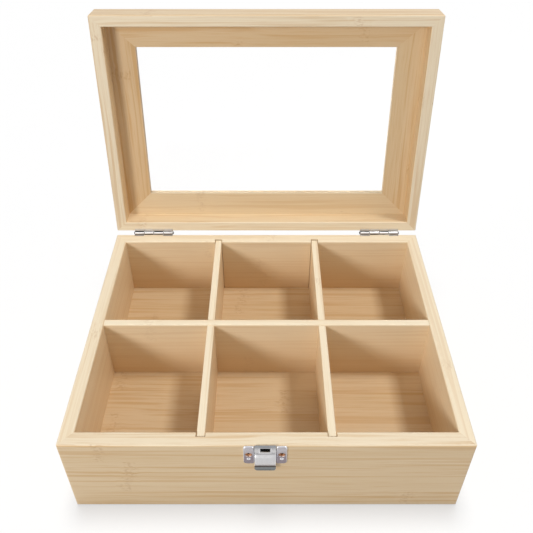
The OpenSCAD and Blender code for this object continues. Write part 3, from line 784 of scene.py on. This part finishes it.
# ---- Latch screws ----
# Two copper-coloured countersunk screws with cross recesses, sunk below the face of the ears.
# painted shade: the cross recesses are darkened below a plane just under the heads' face
COPPER = metal("copper_plated_screw", paint(178, 126, 86), paint(122, 80, 54), 0.42, 0.06,
               painted_shade_from=FRONT_Y - PLATE_T + SCREW_SINK + 0.05)
head_y, head_z = FRONT_Y - PLATE_T + SCREW_SINK, RIM_Z - LATCH_SCREW[1]
heads = [Matrix.Translation((LATCH_X + x, head_y, head_z)) @ FACE_FRONT
         for x in (-LATCH_SCREW[0], LATCH_SCREW[0])]
piece(screws(heads, LATCH_SCREW_R, LATCH_SHANK_R, LATCH_SCREW_LONG, 0.1), "latch_cross_head_screws",
      COPPER, "box", ["latch_screws"])

# ---- Latch pin and spring ----
# An oiled steel pin through the pan's cheeks, and the torsion spring that is wound round it.
# painted shade: the pin and spring are darkened where they lie behind the front face, in the pan
STEEL = metal("oiled_steel_wire", paint(92, 91, 92), paint(56, 54, 53), 0.36, painted_shade_from=FRONT_Y - 1.2)
dress("latch_pin", STEEL)
dress("latch_spring", STEEL)

# ---- Latch lever ----
# One pressed nickel sheet: a flat top with a raised pad round its slot, a step out to a bulging body with
# folded cheeks, and a lip that flares out at the foot. Pressing the lip in swings the top out.
LEVER_W = 15
LEVER_FACE = 0.9
LEVER_TOP = -1.2
SLOT_W = 6.8
SLOT_TOP, SLOT_FOOT = 1.2, 5.8
PAD_W = 8.8
PAD_TOP, PAD_FOOT = 0.3, 8.6
PAD_RISE = 0.35
STEP_AT = 9.5
BODY_R = 10
BODY_OUT = -5.8
BODY_DROP = 16
BODY_HALF = 5.5
LIP_R = 1.4
LIP_OUT = 4.65
LIP_DROP = 21.5
CHEEK_FROM, CHEEK_TO = 7.5, 20
CHEEK_BACK = 0.2
SIDE_ROUND = 0.6
FOLD_R = 0.7
LEVER_T = 0.6
LEVER_EASE = 0.22


def lever_rows():
    """The front of the sheet from top to foot, as (how far out of the front face, how far below the rim)."""
    rows = [(LEVER_FACE, drop) for drop in
            (LEVER_TOP, PAD_TOP, PAD_TOP + 0.4, SLOT_TOP, SLOT_FOOT, CHEEK_FROM, PAD_FOOT - 0.4, PAD_FOOT,
             STEP_AT)]
    swing = math.asin(BODY_HALF / BODY_R)
    for n in range(17):
        angle = swing * (1 - 2 * n / 16)
        rows.append((BODY_OUT + BODY_R * math.cos(angle), BODY_DROP - BODY_R * math.sin(angle)))
    for degrees in (200, 215, 230, 245, 258, 269):
        angle = math.radians(degrees)
        rows.append((LIP_OUT + LIP_R * math.cos(angle), LIP_DROP - LIP_R * math.sin(angle)))
    return rows


def latch_lever():
    bm = bmesh.new()
    half, pad, slot = LEVER_W / 2, PAD_W / 2, SLOT_W / 2
    columns = [-half, -half + 1, -pad, -pad + 0.4, -slot, 0, slot, pad - 0.4, pad, half - 1, half]
    rows = lever_rows()
    corner = {len(rows) - 1: 0.80, len(rows) - 2: 0.93, len(rows) - 3: 0.985}
    grid = []
    for number, (out, drop) in enumerate(rows):
        line = []
        for x in columns:
            on_pad = PAD_TOP < drop < PAD_FOOT and abs(x) < pad
            # the body's sides are rounded off, less and less towards the lip
            on_side = abs(x) == half and STEP_AT < drop < LIP_DROP
            set_back = SIDE_ROUND * min(1, (LIP_DROP - drop) / 4) if on_side else 0
            front = FRONT_Y - out - (PAD_RISE if on_pad else 0) + set_back
            line.append(bm.verts.new((LATCH_X + x * corner.get(number, 1), front, RIM_Z - drop)))
        grid.append(line)
    for upper, lower in zip(grid, grid[1:]):
        for k in range(len(columns) - 1):
            in_slot = abs(columns[k] + columns[k + 1]) / 2 < slot and \
                SLOT_FOOT + 0.01 > RIM_Z - lower[k].co.z > SLOT_TOP + 0.01
            if not in_slot:
                bm.faces.new((upper[k], upper[k + 1], lower[k + 1], lower[k]))
    # cheeks folded back along both sides of the body
    folds = []
    for k in (0, -1):
        column = [line[k] for line in grid]
        cheek = [v for v in column if CHEEK_FROM - 0.01 <= RIM_Z - v.co.z <= CHEEK_TO]
        edges = [bm.edges.get(pair) for pair in zip(cheek, cheek[1:])]
        folded = bmesh.ops.extrude_edge_only(bm, edges=edges)["geom"]
        for v in (g for g in folded if isinstance(g, bmesh.types.BMVert)):
            v.co.y = FRONT_Y - CHEEK_BACK
        folds += edges
    bmesh.ops.recalc_face_normals(bm, faces=bm.faces)
    bmesh.ops.bevel(bm, geom=folds, offset=FOLD_R, segments=4, profile=0.5, affect="EDGES", material=-1,
                    clamp_overlap=True)
    return bm


# Painted in: a darker top, as painted reflection; a browner body towards the foot, as painted reflection of
# the wood; a thin dark band at the crease, a painted shade; a grey lip, as painted reflection; and painted
# highlights on the edges that turn sideways.
LEVER_NICKEL = metal("latch_lever_nickel", paint(204, 203, 204), paint(184, 181, 182), 0.28, 0.10,
                     ((paint(146, 148, 152), RIM_Z - 5, RIM_Z + 1),
                      (paint(136, 124, 120), RIM_Z - 15, RIM_Z - 19.5),
                      (paint(78, 68, 62), RIM_Z - 20.9, RIM_Z - 21.3),
                      (paint(122, 125, 125), RIM_Z - 21.6, RIM_Z - 22)), paint(238, 238, 242))
lever = piece(latch_lever(), "latch_pressed_lever", LEVER_NICKEL, "latch_lever", ["latch_lever"])
sheet = lever.modifiers.new("sheet", "SOLIDIFY")
sheet.thickness = LEVER_T * MM
sheet.offset = -1
rolled = lever.modifiers.new("rolled_edges", "BEVEL")
rolled.width = LEVER_EASE * MM
rolled.segments = 3
rolled.limit_method = "ANGLE"
rolled.angle_limit = math.radians(50)
